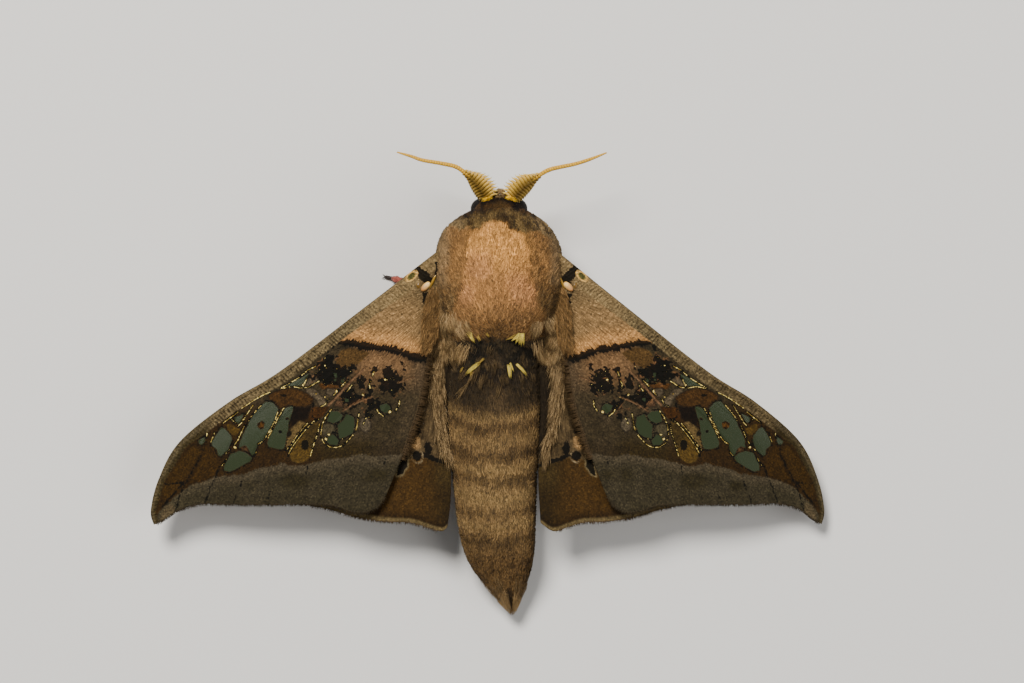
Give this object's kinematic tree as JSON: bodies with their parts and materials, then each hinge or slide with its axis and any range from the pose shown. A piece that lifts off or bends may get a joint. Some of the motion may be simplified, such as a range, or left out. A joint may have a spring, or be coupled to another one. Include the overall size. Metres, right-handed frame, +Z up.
{
  "type": "moth model",
  "caption": "Life-size falcate-winged silk moth at rest with its wings spread flat, standing on its legs, with combed antennae and a furry body.",
  "frame": {"origin": "on the floor, below the middle of the moth's whole footprint", "axes": "+X to the moth's own left along its wing span, +Y towards its tail, +Z up"},
  "size_m": [0.0642, 0.044, 0.0126],
  "materials": {
    "coat": "soft fur",
    "wing": "fine scales",
    "hindwing": "fine scales",
    "eye": "glossy",
    "antenna": "satin",
    "leg": "short scales"
  },
  "bodies": {
    "root": {"thorax": "coat", "abdomen": "coat", "head": "coat", "eye_left": "eye", "eye_right": "eye", "antenna_left": "antenna", "antenna_right": "antenna", "forewing_left": "wing", "forewing_right": "wing", "hindwing_left": "hindwing", "hindwing_right": "hindwing", "leg_fore_left": "leg", "leg_fore_right": "leg", "leg_mid_left": "leg", "leg_mid_right": "leg", "leg_hind_left": "leg", "leg_hind_right": "leg"}
  },
  "joints": []
}
